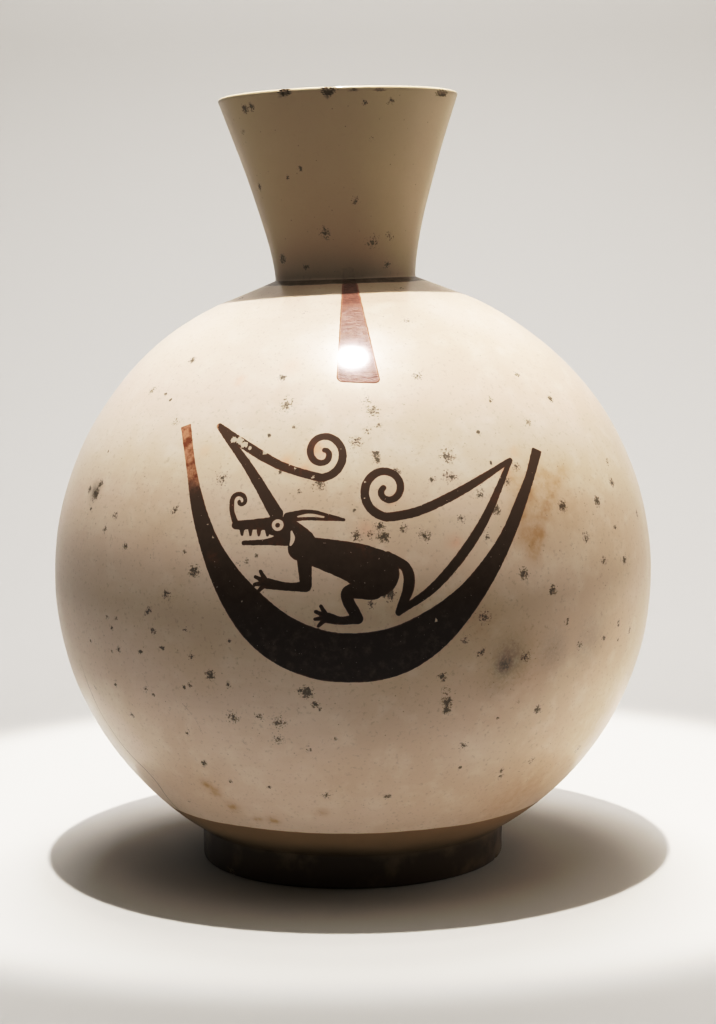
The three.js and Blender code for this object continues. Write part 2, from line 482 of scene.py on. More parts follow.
# Marks of age on the slip, as seen from the front, in mm.
# Dark solid blots: x, z and radius
BLOTS = [
    (-94.5, 151.5, 3.2), (-97.5, 152.5, 1.7), (-92.5, 155.0, 2.0), (-58.0, 200.0, 2.0),
    (-24.0, 194.5, 1.8), (-81.5, 134.5, 1.4), (-55.5, 128.0, 2.8), (-36.5, 132.0, 1.2), (9.0, 168.5, 1.9),
    (9.5, 166.5, 1.5), (15.5, 162.0, 2.1), (61.5, 193.5, 1.4), (74.0, 184.0, 1.7), (90.0, 147.0, 2.4),
    (97.0, 152.5, 2.1), (76.0, 147.0, 2.5), (60.5, 125.0, 2.5), (71.5, 118.0, 2.2), (101.0, 124.0, 2.1),
    (10.0, 144.0, 2.0), (11.0, 140.5, 2.7), (51.0, 148.0, 2.0), (-71.5, 105.5, 1.4), (-50.5, 91.0, 2.5),
    (-16.5, 86.0, 3.0), (-18.5, 86.5, 1.6), (-13.5, 81.5, 1.8), (-12.0, 80.0, 1.0), (12.5, 121.0, 3.0),
    (31.0, 90.5, 2.0), (32.5, 81.0, 2.5), (32.5, 78.0, 2.1), (66.0, 74.0, 2.0), (53.0, 50.5, 1.3),
    (53.0, 48.0, 1.2), (11.5, 44.0, 1.6), (-38.0, 293.5, 2.3), (-35.5, 294.0, 1.9), (-33.5, 265.0, 1.7),
    (7.0, 294.0, 1.3), (-17.5, 270.5, 1.3),
]
# Loose clusters of tiny dots
CLUSTERS = [
    (-73.0, 189.0, 2.8), (-22.5, 185.0, 3.6), (-45.5, 160.0, 3.3), (-11.0, 158.5, 3.0),
    (-86.0, 145.0, 2.2), (-90.0, 139.5, 1.9), (-66.0, 119.0, 2.8), (2.0, 141.0, 2.9), (24.5, 194.5, 2.6),
    (8.0, 183.0, 3.6), (6.0, 176.5, 1.9), (10.0, 178.0, 1.6), (2.0, 172.5, 3.1), (34.0, 167.0, 3.8),
    (34.5, 160.0, 3.4), (28.5, 159.5, 2.0), (64.0, 177.0, 2.1), (59.0, 162.0, 2.2), (55.5, 157.0, 2.2),
    (45.5, 153.5, 2.9), (85.0, 135.0, 2.8), (92.0, 125.5, 2.4), (108.5, 138.5, 2.2), (6.5, 141.5, 2.0),
    (18.0, 143.0, 2.1), (25.5, 140.5, 3.2), (47.5, 138.5, 1.8), (38.5, 145.5, 1.8), (-57.0, 97.5, 1.8),
    (-82.0, 70.5, 2.2), (-43.0, 75.5, 3.3), (-33.5, 76.5, 2.2), (-26.5, 74.5, 3.7), (-27.0, 68.0, 3.0),
    (-10.5, 45.0, 2.2), (6.5, 117.5, 2.0), (46.0, 111.0, 3.3), (82.0, 96.0, 2.2), (39.0, 103.5, 2.1),
    (61.0, 95.0, 2.9), (38.5, 63.5, 2.5), (64.5, 52.5, 2.2), (21.5, 213.5, 2.1), (-8.5, 246.5, 3.2),
    (9.5, 243.0, 3.2), (16.0, 245.0, 2.6), (3.0, 258.0, 2.2), (-16.0, 234.0, 2.0), (15.0, 234.5, 2.1),
    (20.0, 225.0, 1.7), (-39.0, 285.5, 1.8), (17.0, 294.5, 2.0),
]
# Small round dots: x and z
DOTS = [
    (-28.5, 175.0), (-24.5, 162.5), (-18.0, 156.0), (1.0, 149.5), (-90.0, 166.5), (-62.5, 148.5),
    (-96.5, 146.0), (-59.0, 134.5), (-33.0, 134.0), (50.5, 185.0), (45.5, 174.5), (49.5, 164.0),
    (97.5, 136.5), (77.0, 105.0), (92.5, 96.5), (98.5, 94.0), (98.5, 100.0), (-90.0, 108.0),
    (-86.0, 108.0), (-88.0, 104.0), (-73.0, 112.5), (-59.0, 107.0), (-43.5, 104.0), (-68.5, 99.5),
    (-88.5, 95.0), (-76.5, 97.0), (-58.5, 86.5), (-60.5, 85.5), (-44.5, 88.0), (-88.0, 82.0), (-6.5, 68.5),
    (-16.0, 64.0), (-60.5, 67.0), (-45.5, 48.5), (-31.0, 47.5), (-55.0, 55.0), (51.0, 73.0), (37.5, 54.5),
    (45.0, 98.5), (-22.5, 267.5), (-20.0, 177.5), (-67.5, 188.0), (-65.5, 186.0), (-97.8, 97.1),
    (-85.7, 96.1), (-76.9, 96.9), (-67.8, 99.3), (-88.1, 81.8), (-75.1, 82.7), (-72.6, 80.8),
    (-44.3, 87.9), (96.0, 159.8), (77.2, 106.4), (98.5, 101.3), (103.9, 95.7), (92.0, 96.7), (97.1, 136.7),
]
DOT_RADIUS = 1.15
# Soft marks: x, z, radius and strength
GREY_SMUDGES = [
    (53.5, 93.2, 5.2, 1.0), (55.5, 95.5, 9.0, 0.5), (51.0, 88.0, 8.0, 0.25), (72.0, 95.5, 9.0, 0.28),
    (86.0, 98.0, 11.0, 0.22), (-95.1, 152.4, 4.0, 0.6),
]
TAN_STAINS = [
    (76.7, 159.4, 4.0, 0.45), (74.1, 155.2, 3.8, 0.6), (71.5, 150.9, 3.6, 0.8), (69.8, 147.0, 3.6, 0.9),
    (68.1, 143.0, 3.8, 0.95), (66.9, 138.9, 4.0, 1.0), (64.9, 134.6, 4.0, 1.0), (64.1, 132.2, 3.4, 0.8),
    (57.1, 158.3, 6.0, 0.5), (62.8, 153.1, 6.5, 0.75), (60.3, 145.4, 6.0, 0.75), (62.3, 138.3, 6.0, 0.75),
    (69.5, 157.3, 8.0, 0.5), (66.0, 146.0, 11.0, 0.5), (76.0, 147.0, 14.0, 0.25), (46.0, 109.0, 9.0, 0.3),
    (58.0, 92.0, 18.0, 0.3), (90.0, 60.0, 26.0, 0.40), (60.0, 36.0, 22.0, 0.45), (-54.5, 45.5, 2.6, 1.0),
    (-51.7, 42.6, 2.6, 1.0), (-45.7, 36.4, 2.8, 1.0), (-30.2, 31.6, 2.6, 1.0), (-36.2, 31.3, 2.2, 0.9),
    (-12.3, 37.1, 3.0, 0.5),
]
PINK_STAINS = [
    (-12.4, 170.0, 3.6, 1.0), (-39.5, 193.3, 2.0, 0.7), (-20.6, 198.5, 4.2, 0.4), (-51.8, 168.9, 2.6, 0.5),
    (-22.0, 166.0, 3.0, 0.8), (-16.0, 163.5, 2.6, 0.7), (13.8, 152.5, 2.0, 0.6), (35.9, 138.1, 3.2, 0.6),
    (58.6, 167.0, 2.6, 0.5), (54.5, 160.5, 2.6, 0.6), (5.0, 143.0, 4.0, 0.4),
]
# Where the paint is thin and shows red-brown, and where it has flaked away
THIN_PAINT = [
    (-8.0, 145.2, 4.0, 0.9), (-27.0, 136.1, 4.5, 0.9), (-40.2, 137.6, 2.4, 0.7), (-17.0, 145.8, 3.0, 0.8),
    (4.9, 139.2, 5.5, 0.8), (-12.4, 171.6, 3.0, 0.6), (-17.7, 165.0, 5.0, 0.7), (14.2, 156.8, 2.0, 0.7),
    (-33.0, 142.3, 3.4, 0.7), (-41.6, 151.0, 3.4, 0.6), (-31.0, 124.6, 3.4, 0.5), (51.5, 152.0, 5.0, 0.5),
    (-48.6, 132.5, 2.6, 0.8), (5.0, 160.0, 4.0, 0.4),
]
FLAKED = [
    (-41.2, 173.2, 1.9, 1.0), (-39.1, 173.0, 2.3, 1.0), (-37.2, 171.6, 2.0, 1.0), (-35.6, 170.6, 1.3, 1.0),
    (-30.1, 169.0, 1.4, 1.0), (-8.9, 177.1, 1.1, 0.9), (-13.1, 176.1, 0.8, 0.8), (-21.2, 165.0, 1.0, 0.8),
    (-19.1, 163.6, 0.9, 0.8), (-13.2, 160.9, 1.1, 0.9), (4.9, 159.1, 0.8, 0.8), (4.8, 153.7, 0.8, 0.8),
    (-50.5, 144.4, 0.9, 0.8), (-48.7, 139.7, 0.9, 0.8), (28.9, 110.8, 0.9, 0.9), (-38.6, 118.3, 1.2, 0.5),
]
# A hairline crack low on the left, and a scratch: x, z and half width
HAIRLINES = [
    [(-104.0, 89.5, 0.16), (-102.0, 81.5, 0.18), (-99.0, 73.0, 0.20), (-96.5, 67.0, 0.20),
     (-93.5, 62.0, 0.22), (-89.0, 55.5, 0.24), (-84.5, 50.5, 0.26), (-79.0, 45.5, 0.26),
     (-75.0, 40.0, 0.24), (-72.5, 34.0, 0.22), (-69.5, 28.5, 0.20), (-66.0, 23.0, 0.16)],
    [(-61.5, 79.0, 0.08), (-59.0, 76.0, 0.05), (-56.5, 72.5, 0.03), (-54.5, 67.5, 0.0)],
]
# The left horn turns orange between these heights
ORANGE_FROM, ORANGE_TO = 149.0, 166.0
LEFT_HORN_X = -47.0
# The material scatters less growth in front of here, where the listed blots stand
SCATTER_FROM, SCATTER_TO = -55.0, -20.0
# The slip ends in the neck, as far as this past the rim, and fades over this length
SLIP_END = 9.0
SLIP_FADE = 14.0
# Lengths along the skin from the neck's base are kept up to this many mm
NEAR_BASE = 20.0


def marks(points, listed):
    """The strongest mark at each point: 1 at a mark's centre and 0 past its radius, times its strength."""
    value = np.zeros(len(points))
    for x, z, radius, strength in listed:
        gap = np.linalg.norm(points - on_outside(x, z), axis=1) / radius
        value = np.maximum(value, strength * np.clip(1.0 - gap, 0.0, 1.0))
    return value


def soft_marks(points, listed):
    """The same, but each mark fades away without an edge."""
    value = np.zeros(len(points))
    for x, z, radius, strength in listed:
        gap = np.linalg.norm(points - on_outside(x, z), axis=1) / radius
        value = np.maximum(value, strength * np.exp(-1.4 * gap ** 2))
    return value


def wider(listed, times, strength):
    return [(x, z, radius * times, strength) for x, z, radius in listed]


# Dark growth: whole in the middle of a blot, broken up in a cluster
GROWTH = wider(BLOTS, 1.2, 0.9) + wider(CLUSTERS, 1.05, 0.6) + [(x, z, DOT_RADIUS, 1.0) for x, z in DOTS]
# Where the finest dark dots may stand, in and round the blots and clusters
SPECKS = wider(BLOTS, 1.4, 0.8) + wider(CLUSTERS, 1.35, 0.9)
ALL_MARKS = GROWTH + SPECKS + FLAKED + GREY_SMUDGES + TAN_STAINS + PINK_STAINS + THIN_PAINT


def near_marks(points, size):
    """True for a cell that any mark reaches, even where it misses the cell's middle."""
    near = np.zeros(len(points), bool)
    for x, z, radius, _ in ALL_MARKS:
        near |= np.linalg.norm(points - on_outside(x, z), axis=1) < radius + size
    return near


def hairlines(points):
    distance = np.full(len(points), FAR)
    for line in HAIRLINES:
        distance = np.minimum(distance, stroke_distance(points, line))
    return np.where(points[:, 1] < 0, distance, FAR)


# The net

def needs_split(points, size, level):
    """True for a cell near the painting's edge, a chip or a mark."""
    edge = np.abs(np.minimum(painting_distance(points), stripe_distance(points)))
    edge = np.minimum(edge, np.abs(hairlines(points)))
    split = edge < EDGE_REACH[level] * size
    if level == 0:
        split |= near_marks(points, size)
    if level < MARK_SPLITS:
        split |= all_chips(points)[2] > LEAST_SHOWN
        split |= marks(points, GROWTH + FLAKED) > 0
    if level < CLUSTER_SPLITS:
        split |= marks(points, SPECKS) > 0
    return split


def cell_net(row_count):
    """Cells as (column, row, size) in the finest units, split by halves where detail is wanted."""
    whole = 2 ** SPLITS
    rows = profile.rows()
    gaps = np.diff(rows)
    column, row = np.meshgrid(np.arange(COLUMNS), np.arange(row_count - 1))
    cells = np.stack([column.ravel(), row.ravel()], 1) * whole
    done = []
    size = whole
    for level in range(SPLITS):
        middle = cells + size / 2
        azimuth = middle[:, 0] * 2 * math.pi / (COLUMNS * whole)
        at = np.interp(middle[:, 1] / whole, np.arange(row_count), rows)
        points = surface(azimuth, at, with_chips=False)
        outside = (at > profile.ends[0]) & (at < profile.rim + SPLIT_PAST_RIM)
        across = np.hypot(points[:, 0], points[:, 1]) * 2 * math.pi / COLUMNS * size / whole
        along = np.interp(middle[:, 1] / whole, np.arange(row_count - 1) + 0.5, gaps) * size / whole
        split = np.zeros(len(cells), bool)
        index = np.flatnonzero(outside)
        split[index] = needs_split(points[index], np.maximum(across, along)[index], level)
        done.append((cells[~split], size))
        half = size // 2
        parents = cells[split]
        cells = np.concatenate([parents, parents + [half, 0], parents + [0, half], parents + [half, half]])
        size = half
    done.append((cells, size))
    return done


def build_net():
    """Vertices as (azimuth, arc length), faces, and one centre for each end of the profile."""
    rows = profile.rows()
    whole = 2 ** SPLITS
    around = COLUMNS * whole
    net = cell_net(len(rows))
    corners = set()
    for cells, size in net:
        for c, r in cells.tolist():
            right = (c + size) % around
            corners.update(((c, r), (right, r), (right, r + size), (c, r + size)))
    order = {key: i for i, key in enumerate(sorted(corners, key=lambda k: (k[1], k[0])))}
    places = list(order)
    faces = []
    for cells, size in net:
        for c, r in cells.tolist():
            loop = []
            for step in range(size):
                loop.append((c + step, r))
            for step in range(size):
                loop.append((c + size, r + step))
            for step in range(size, 0, -1):
                loop.append((c + step, r + size))
            for step in range(size, 0, -1):
                loop.append((c, r + step))
            ring = [order[key] for a, b in loop if (key := (a % around, b)) in order]
            if len(ring) == 4:
                faces.append(ring)
            else:
                middle = len(places)
                places.append((c + size / 2, r + size / 2))
                faces.extend((a, b, middle) for a, b in zip(ring, ring[1:] + ring[:1]))
    ends = []
    last = (len(rows) - 1) * whole
    for row in (0, last):
        ring = [order[(c, row)] for c in range(0, around, whole)]
        middle = len(places)
        ends.append(middle)
        places.append((0, row))
        pairs = zip(ring, ring[1:] + ring[:1])
        faces.extend((b, a, middle) if row == 0 else (a, b, middle) for a, b in pairs)
    places = np.array(places, float)
    azimuth = places[:, 0] * 2 * math.pi / around
    at = np.interp(places[:, 1] / whole, np.arange(len(rows)), rows)
    return azimuth, at, faces, ends


def add_value(mesh, name, values):
    layer = mesh.attributes.new(name, "FLOAT", "POINT")
    layer.data.foreach_set("value", np.asarray(values, np.float32))


def make_jar():
    azimuth, at, faces, ends = build_net()
    points = surface(azimuth, at)
    for end, z in zip(ends, (RECESS, FLOOR)):
        points[end] = (float(side_shift(z)), 0.0, z)
    still = surface(azimuth, at, with_chips=False)
    even = surface(azimuth, at, with_chips=False, uneven=False)
    mesh = bpy.data.meshes.new("painted_jar")
    mesh.from_pydata((points * MM).tolist(), [], faces)
    mesh.update()
    outside = (at > profile.ends[0]) & (at < profile.rim + 1.0)
    outside[ends] = False
    horn = smoothstep(ORANGE_FROM, ORANGE_TO, still[:, 2]) * (still[:, 0] < LEFT_HORN_X) * (still[:, 1] < 0)
    above_base = np.clip(at - profile.starts[2], -NEAR_BASE, NEAR_BASE)
    # Each value on the outside, and what stands for it everywhere else
    outer = {
        "paint": (painting_distance(even), FAR),
        "stripe": (stripe_distance(still), FAR),
        "hairline": (hairlines(still), FAR),
        "blot": (marks(still, GROWTH), 0.0),
        "cluster": (marks(still, SPECKS), 0.0),
        "pink": (soft_marks(still, PINK_STAINS), 0.0),
        "smudge": (soft_marks(still, GREY_SMUDGES), 0.0),
        "tan": (soft_marks(still, TAN_STAINS), 0.0),
        "thin": (soft_marks(still, THIN_PAINT), 0.0),
        "flaked": (marks(still, FLAKED), 0.0),
        "orange": (horn, 0.0),
        "above_base": (above_base, NEAR_BASE),
        "chip": (all_chips(still)[2], 0.0),
    }
    for name, (values, elsewhere) in outer.items():
        add_value(mesh, name, np.where(outside, values, elsewhere))
    add_value(mesh, "unseen", smoothstep(SCATTER_FROM, SCATTER_TO, still[:, 1]))
    add_value(mesh, "bare", smoothstep(profile.rim + SLIP_END, profile.rim + SLIP_END + SLIP_FADE, at))
    for polygon in mesh.polygons:
        polygon.use_smooth = True
    piece = bpy.data.objects.new("painted_jar", mesh)
    bpy.context.scene.collection.objects.link(piece)
    return piece


# Node helpers

class Nodes:
    """Short ways to add and join shader nodes."""

    def __init__(self, material):
        material.use_nodes = True
        self.tree = material.node_tree
        self.tree.nodes.clear()

    def add(self, kind, **settings):
        node = self.tree.nodes.new(kind)
        for name, value in settings.items():
            setattr(node, name, value)
        return node

    def feed(self, socket, value):
        if isinstance(value, bpy.types.NodeSocket):
            self.tree.links.new(value, socket)
        elif isinstance(value, tuple) and len(value) == 3 and socket.type == "RGBA":
            socket.default_value = (*value, 1.0)
        else:
            socket.default_value = value

    def math(self, operation, a, b):
        node = self.add("ShaderNodeMath", operation=operation)
        for socket, value in zip(node.inputs, (a, b)):
            self.feed(socket, value)
        return node.outputs[0]

    def times(self, a, b):
        return self.math("MULTIPLY", a, b)

    def plus(self, a, b):
        return self.math("ADD", a, b)

    def most(self, a, b):
        return self.math("MAXIMUM", a, b)

    def ramp(self, value, low, high, to_low=0.0, to_high=1.0):
        """A smooth step from to_low at low to to_high at high."""
        node = self.add("ShaderNodeMapRange", interpolation_type="SMOOTHSTEP")
        for socket, v in zip(node.inputs, (value, low, high, to_low, to_high)):
            self.feed(socket, v)
        return node.outputs[0]

    def value(self, name):
        return self.add("ShaderNodeAttribute", attribute_name=name).outputs["Fac"]

    def place(self, scale=(1.0, 1.0, 1.0), offset=(0.0, 0.0, 0.0)):
        """Object coordinates in millimetres, stretched and moved."""
        coordinates = self.add("ShaderNodeTexCoord").outputs["Object"]
        mapping = self.add("ShaderNodeMapping")
        self.feed(mapping.inputs["Vector"], coordinates)
        mapping.inputs["Scale"].default_value = tuple(s / MM for s in scale)
        mapping.inputs["Location"].default_value = offset
        return mapping.outputs[0]

    def noise(self, size, detail=3.0, roughness=0.55, place=None, offset=0.0):
        """Noise with features of about size millimetres, around 0.5."""
        node = self.add("ShaderNodeTexNoise")
        self.feed(node.inputs["Vector"], place or self.place(offset=(offset, offset * 0.7, -offset)))
        node.inputs["Scale"].default_value = 1.0 / size
        node.inputs["Detail"].default_value = detail
        node.inputs["Roughness"].default_value = roughness
        return node.outputs[0]

    def wobble(self, amount, size, detail, roughness=0.55, offset=0.0):
        """Noise around 0, up to half of amount either way."""
        noise = self.noise(size, detail, roughness, offset=offset)
        return self.times(self.math("SUBTRACT", noise, 0.5), amount)

    def cells(self, size, offset):
        """Points about size millimetres apart: the distance to the nearest, and a colour of its own."""
        node = self.add("ShaderNodeTexVoronoi")
        self.feed(node.inputs["Vector"], self.place(offset=(offset, -offset, offset * 0.5)))
        node.inputs["Scale"].default_value = 1.0 / size
        return node

    def mix(self, share, a, b):
        node = self.add("ShaderNodeMix", data_type="RGBA")
        self.feed(node.inputs["Factor"], share)
        colours = [s for s in node.inputs if s.type == "RGBA"]
        self.feed(colours[0], a)
        self.feed(colours[1], b)
        return [s for s in node.outputs if s.type == "RGBA"][0]


# Colours, linear
CREAM = (0.655, 0.545, 0.458)
CREAM_WARM = (0.615, 0.497, 0.398)
CREAM_PALE = (0.700, 0.610, 0.520)
# Painted shade: the olive that the neck and the shoulder under the lip are turned, for the lip's shadow on
# them
NECK_PAINTED_SHADE = (0.595, 0.500, 0.365)
SPOT_DARK = (0.060, 0.048, 0.029)
SPECK_BROWN = (0.120, 0.085, 0.055)
SMUDGE_GREY = (0.152, 0.136, 0.114)
TAN = (0.430, 0.265, 0.135)
PAINT_DARK = (0.024, 0.0125, 0.0085)
PAINT_BROWN = (0.112, 0.076, 0.054)
PAINT_RED = (0.215, 0.092, 0.050)
PAINT_ORANGE = (0.450, 0.265, 0.180)
FLAKE = (0.520, 0.440, 0.360)
# The foot's dark paint, and the lighter brown that the same paint is drawn in up by the slip's edge:
# painted light there, fading to painted shade towards the foot
FOOT_BROWN = (0.050, 0.032, 0.020)
BAND_LIT_BROWN = (0.290, 0.200, 0.112)
CLAY = (0.360, 0.200, 0.120)
CHIP_DARK = (0.120, 0.086, 0.054)
CHIP_PALE = (0.300, 0.240, 0.170)
RING_BROWN = (0.105, 0.066, 0.034)
STRIPE_DARK = (0.225, 0.112, 0.090)
STRIPE_PALE = (0.300, 0.155, 0.125)
STRIPE_EDGE = (0.480, 0.235, 0.165)
CLAY_DARK = (0.260, 0.150, 0.095)
PINK = (0.680, 0.360, 0.240)


def slip_material():
    """Burnished cream slip with its painting, stains and wear, painted shade on the neck and above the
    foot, and bare clay inside.
    """
    material = bpy.data.materials.new("burnished_slip")
    n = Nodes(material)
    position = n.add("ShaderNodeSeparateXYZ")
    n.feed(position.inputs[0], n.add("ShaderNodeTexCoord").outputs["Object"])
    across = n.times(position.outputs[0], 1.0 / MM)
    height = n.times(position.outputs[2], 1.0 / MM)
    above_base = n.value("above_base")

    broad = n.noise(45.0, 3.0)
    middling = n.noise(9.0, 4.0, offset=11.0)
    fine = n.noise(1.3, 3.0, offset=5.0)
    grain = n.noise(0.5, 2.0, offset=3.0)
    streaks = n.noise(5.0, 4.0, place=n.place(scale=(0.35, 0.35, 2.2)))

    colour = n.mix(n.ramp(n.plus(broad, n.times(across, 0.0016)), 0.36, 0.64), CREAM, CREAM_WARM)
    colour = n.mix(n.ramp(middling, 0.45, 0.75, 0.0, 0.55), colour, CREAM_PALE)
    colour = n.mix(n.ramp(streaks, 0.42, 0.70, 0.0, 0.22), colour, CREAM_WARM)
    colour = n.mix(n.ramp(fine, 0.56, 0.74, 0.0, 0.20), colour, SPECK_BROWN)
    # Painted shade: the neck and the shoulder just below it turn olive with height, as the lip's shadow
    # darkens them
    colour = n.mix(n.ramp(height, 222.0, 240.0, 0.0, 0.85), colour, NECK_PAINTED_SHADE)
    blotchy = n.ramp(n.noise(4.0, 4.0, 0.6, offset=19.0), 0.3, 0.65, 0.45, 1.0)
    colour = n.mix(n.times(n.value("tan"), blotchy), colour, TAN)
    sooty = n.ramp(n.noise(1.1, 4.0, 0.7, offset=8.0), 0.30, 0.62, 0.55, 1.0)
    colour = n.mix(n.times(n.value("smudge"), sooty), colour, SMUDGE_GREY)

    pin = n.cells(2.4, offset=9.0)
    pins = n.ramp(pin.outputs["Distance"], 0.07, 0.13, 1.0, 0.0)
    pins = n.times(pins, n.ramp(pin.outputs["Color"], 0.66, 0.72))
    colour = n.mix(n.times(pins, 0.42), colour, SPECK_BROWN)
    colour = n.mix(n.times(n.value("pink"), n.ramp(middling, 0.35, 0.6, 0.35, 0.75)), colour, PINK)

    loose = n.cells(19.0, offset=4.0)
    size = n.ramp(loose.outputs["Color"], 0.15, 1.0, 0.0, 0.17)
    stray = n.math("DIVIDE", n.math("SUBTRACT", size, loose.outputs["Distance"]), 0.15)
    stray = n.times(stray, n.ramp(n.value("unseen"), 0.0, 1.0, 0.45, 1.0))
    grown = n.most(n.value("blot"), stray)
    ragged = n.wobble(2.6, 0.9, 4.0, 0.75, offset=21.0)
    blot = n.times(n.ramp(n.plus(grown, ragged), 0.24, 0.64), n.ramp(grown, 0.03, 0.14))
    speck = n.cells(1.15, offset=13.0)
    reach = n.plus(n.times(n.value("cluster"), 0.26), 0.10)
    within = n.ramp(n.math("SUBTRACT", speck.outputs["Distance"], reach), -0.06, 0.06, 1.0, 0.0)
    within = n.times(within, n.ramp(speck.outputs["Color"], 0.30, 0.36))
    cluster = n.times(within, n.ramp(n.value("cluster"), 0.04, 0.12))
    on_neck = n.ramp(height, 226.0, 232.0, 1.0, 0.85)
    dark = n.times(n.most(n.times(blot, 0.80), n.times(cluster, 0.58)), on_neck)
    colour = n.mix(dark, colour, SPOT_DARK)
    crack = n.plus(n.value("hairline"), n.times(ragged, 0.05))
    colour = n.mix(n.ramp(crack, 0.0, 0.16, 0.6, 0.0), colour, SPECK_BROWN)

    edge = n.plus(n.value("paint"), n.wobble(0.42, 1.6, 3.0, offset=31.0))
    paint = n.ramp(edge, -0.10, 0.10, 1.0, 0.0)
    stripe_edge = n.plus(n.value("stripe"), n.wobble(0.5, 2.5, 3.0, offset=17.0))
    below_neck = n.ramp(above_base, -0.6, -0.3, 1.0, 0.0)
    stripe = n.times(n.ramp(stripe_edge, -0.15, 0.15, 1.0, 0.0), below_neck)

    brush = n.noise(3.0, 5.0, 0.65, offset=41.0)
    upper = n.ramp(n.plus(height, n.times(brush, 24.0)), 108.0, 168.0)
    paint_colour = n.mix(n.most(upper, n.ramp(brush, 0.45, 0.75, 0.0, 0.6)), PAINT_DARK, PAINT_BROWN)
    thin_edge = n.times(n.ramp(edge, -0.55, 0.0), n.ramp(n.noise(6.0, 2.0, offset=51.0), 0.40, 0.66))
    worn = n.times(n.value("thin"), n.ramp(n.noise(2.2, 4.0, offset=61.0), 0.36, 0.60))
    thin = n.most(thin_edge, worn)
    paint_colour = n.mix(n.times(thin, 0.6), paint_colour, PAINT_RED)
    horn = n.ramp(n.plus(n.value("orange"), n.wobble(0.7, 4.0, 4.0, offset=71.0)), 0.18, 0.85)
    horn_colour = n.mix(n.ramp(brush, 0.35, 0.65), PAINT_ORANGE, PAINT_RED)
    paint_colour = n.mix(horn, paint_colour, horn_colour)
    flaked_edge = n.plus(n.value("flaked"), n.wobble(1.5, 1.1, 4.0, 0.65, offset=81.0))
    flaked = n.ramp(flaked_edge, 0.34, 0.42)
    nicks = n.ramp(n.noise(0.8, 2.0, 0.5, offset=91.0), 0.735, 0.765)
    paint = n.times(paint, n.math("SUBTRACT", 1.0, n.most(flaked, n.times(nicks, 0.8))))
    colour = n.mix(n.times(flaked, n.ramp(n.value("paint"), -0.1, 0.1, 1.0, 0.0)), colour, FLAKE)
    colour = n.mix(paint, colour, paint_colour)

    stripe_rim = n.ramp(stripe_edge, -0.9, -0.1)
    stripe_body = n.mix(n.ramp(n.noise(2.4, 4.0, offset=14.0), 0.35, 0.65), STRIPE_DARK, STRIPE_PALE)
    stripe_colour = n.mix(stripe_rim, stripe_body, STRIPE_EDGE)
    colour = n.mix(n.times(stripe, 0.94), colour, stripe_colour)

    ring_place = n.plus(above_base, n.wobble(2.6, 9.0, 2.0, offset=7.0))
    ring = n.times(n.ramp(ring_place, -5.4, -4.4), n.ramp(above_base, -0.7, 0.1, 1.0, 0.0))
    colour = n.mix(n.times(ring, n.ramp(brush, 0.3, 0.7, 0.95, 0.72)), colour, RING_BROWN)

    band = n.ramp(n.plus(height, n.wobble(1.6, 25.0, 2.0, offset=27.0)), 26.2, 26.7, 1.0, 0.0)
    # Painted light and shade: the dark paint below the slip is drawn lighter brown by the slip's edge and
    # darkens towards the foot and the crease above it
    band_paint_and_shade = n.mix(n.ramp(n.plus(height, n.times(broad, 8.0)), 15.0, 24.0), FOOT_BROWN, BAND_LIT_BROWN)
    cloudy = n.ramp(n.noise(14.0, 4.0, offset=37.0), 0.45, 0.75, 0.0, 0.35)
    band_paint_and_shade = n.mix(cloudy, band_paint_and_shade, BAND_LIT_BROWN)
    colour = n.mix(band, colour, band_paint_and_shade)

    chipped = n.value("chip")
    chip_colour = n.mix(n.ramp(n.noise(1.2, 3.0, offset=47.0), 0.50, 0.62), CHIP_DARK, CHIP_PALE)
    colour = n.mix(chipped, colour, chip_colour)
    clay = n.mix(n.ramp(n.noise(3.0, 5.0, offset=57.0), 0.35, 0.7), CLAY, CLAY_DARK)
    bare = n.value("bare")
    colour = n.mix(bare, colour, clay)

    rough = n.ramp(middling, 0.3, 0.7, 0.33, 0.42)
    rough = n.plus(rough, n.times(n.ramp(grain, 0.4, 0.7), 0.05))
    rough = n.plus(rough, n.times(n.most(paint, stripe), -0.02))
    rough = n.plus(rough, n.times(band, 0.12))
    rough = n.plus(rough, n.times(n.most(bare, chipped), 0.42))

    ripples = n.times(n.noise(2.2, 2.0, 0.45, offset=67.0), 0.030)
    rawness = n.plus(n.times(bare, 0.12), n.times(chipped, 0.25))
    relief = n.plus(ripples, n.times(grain, n.plus(rawness, 0.006)))
    relief = n.plus(relief, n.times(streaks, 0.03))
    crinkle = n.noise(0.9, 3.0, 0.6, place=n.place(scale=(0.4, 0.4, 1.3)))
    crinkle = n.times(crinkle, n.ramp(n.value("stripe"), -0.4, 0.0, 1.0, 0.0))
    relief = n.plus(relief, n.times(crinkle, 0.55))
    bump = n.add("ShaderNodeBump")
    bump.inputs["Strength"].default_value = 1.0
    bump.inputs["Distance"].default_value = MM
    n.feed(bump.inputs["Height"], relief)

    shader = n.add("ShaderNodeBsdfPrincipled")
    n.feed(shader.inputs["Base Color"], colour)
    n.feed(shader.inputs["Roughness"], rough)
    n.feed(shader.inputs["Normal"], bump.outputs[0])
    shader.inputs["IOR"].default_value = 1.42
    shader.inputs["Specular IOR Level"].default_value = 0.25
    n.feed(shader.inputs["Coat Weight"], n.ramp(stripe, 0.0, 1.0, 0.32, 1.0))
    shader.inputs["Coat Roughness"].default_value = 0.11
    output = n.add("ShaderNodeOutputMaterial")
    n.feed(output.inputs["Surface"], shader.outputs[0])
    return material


# The stage

SWEEP_FRONT = -1500.0
SWEEP_BACK = 520.0
SWEEP_RADIUS = 420.0
SWEEP_TOP = 1500.0
SWEEP_HALF_WIDTH = 1600.0
SWEEP_STEPS = 25
SWEEP_GREY = (0.52, 0.512, 0.495, 1.0)


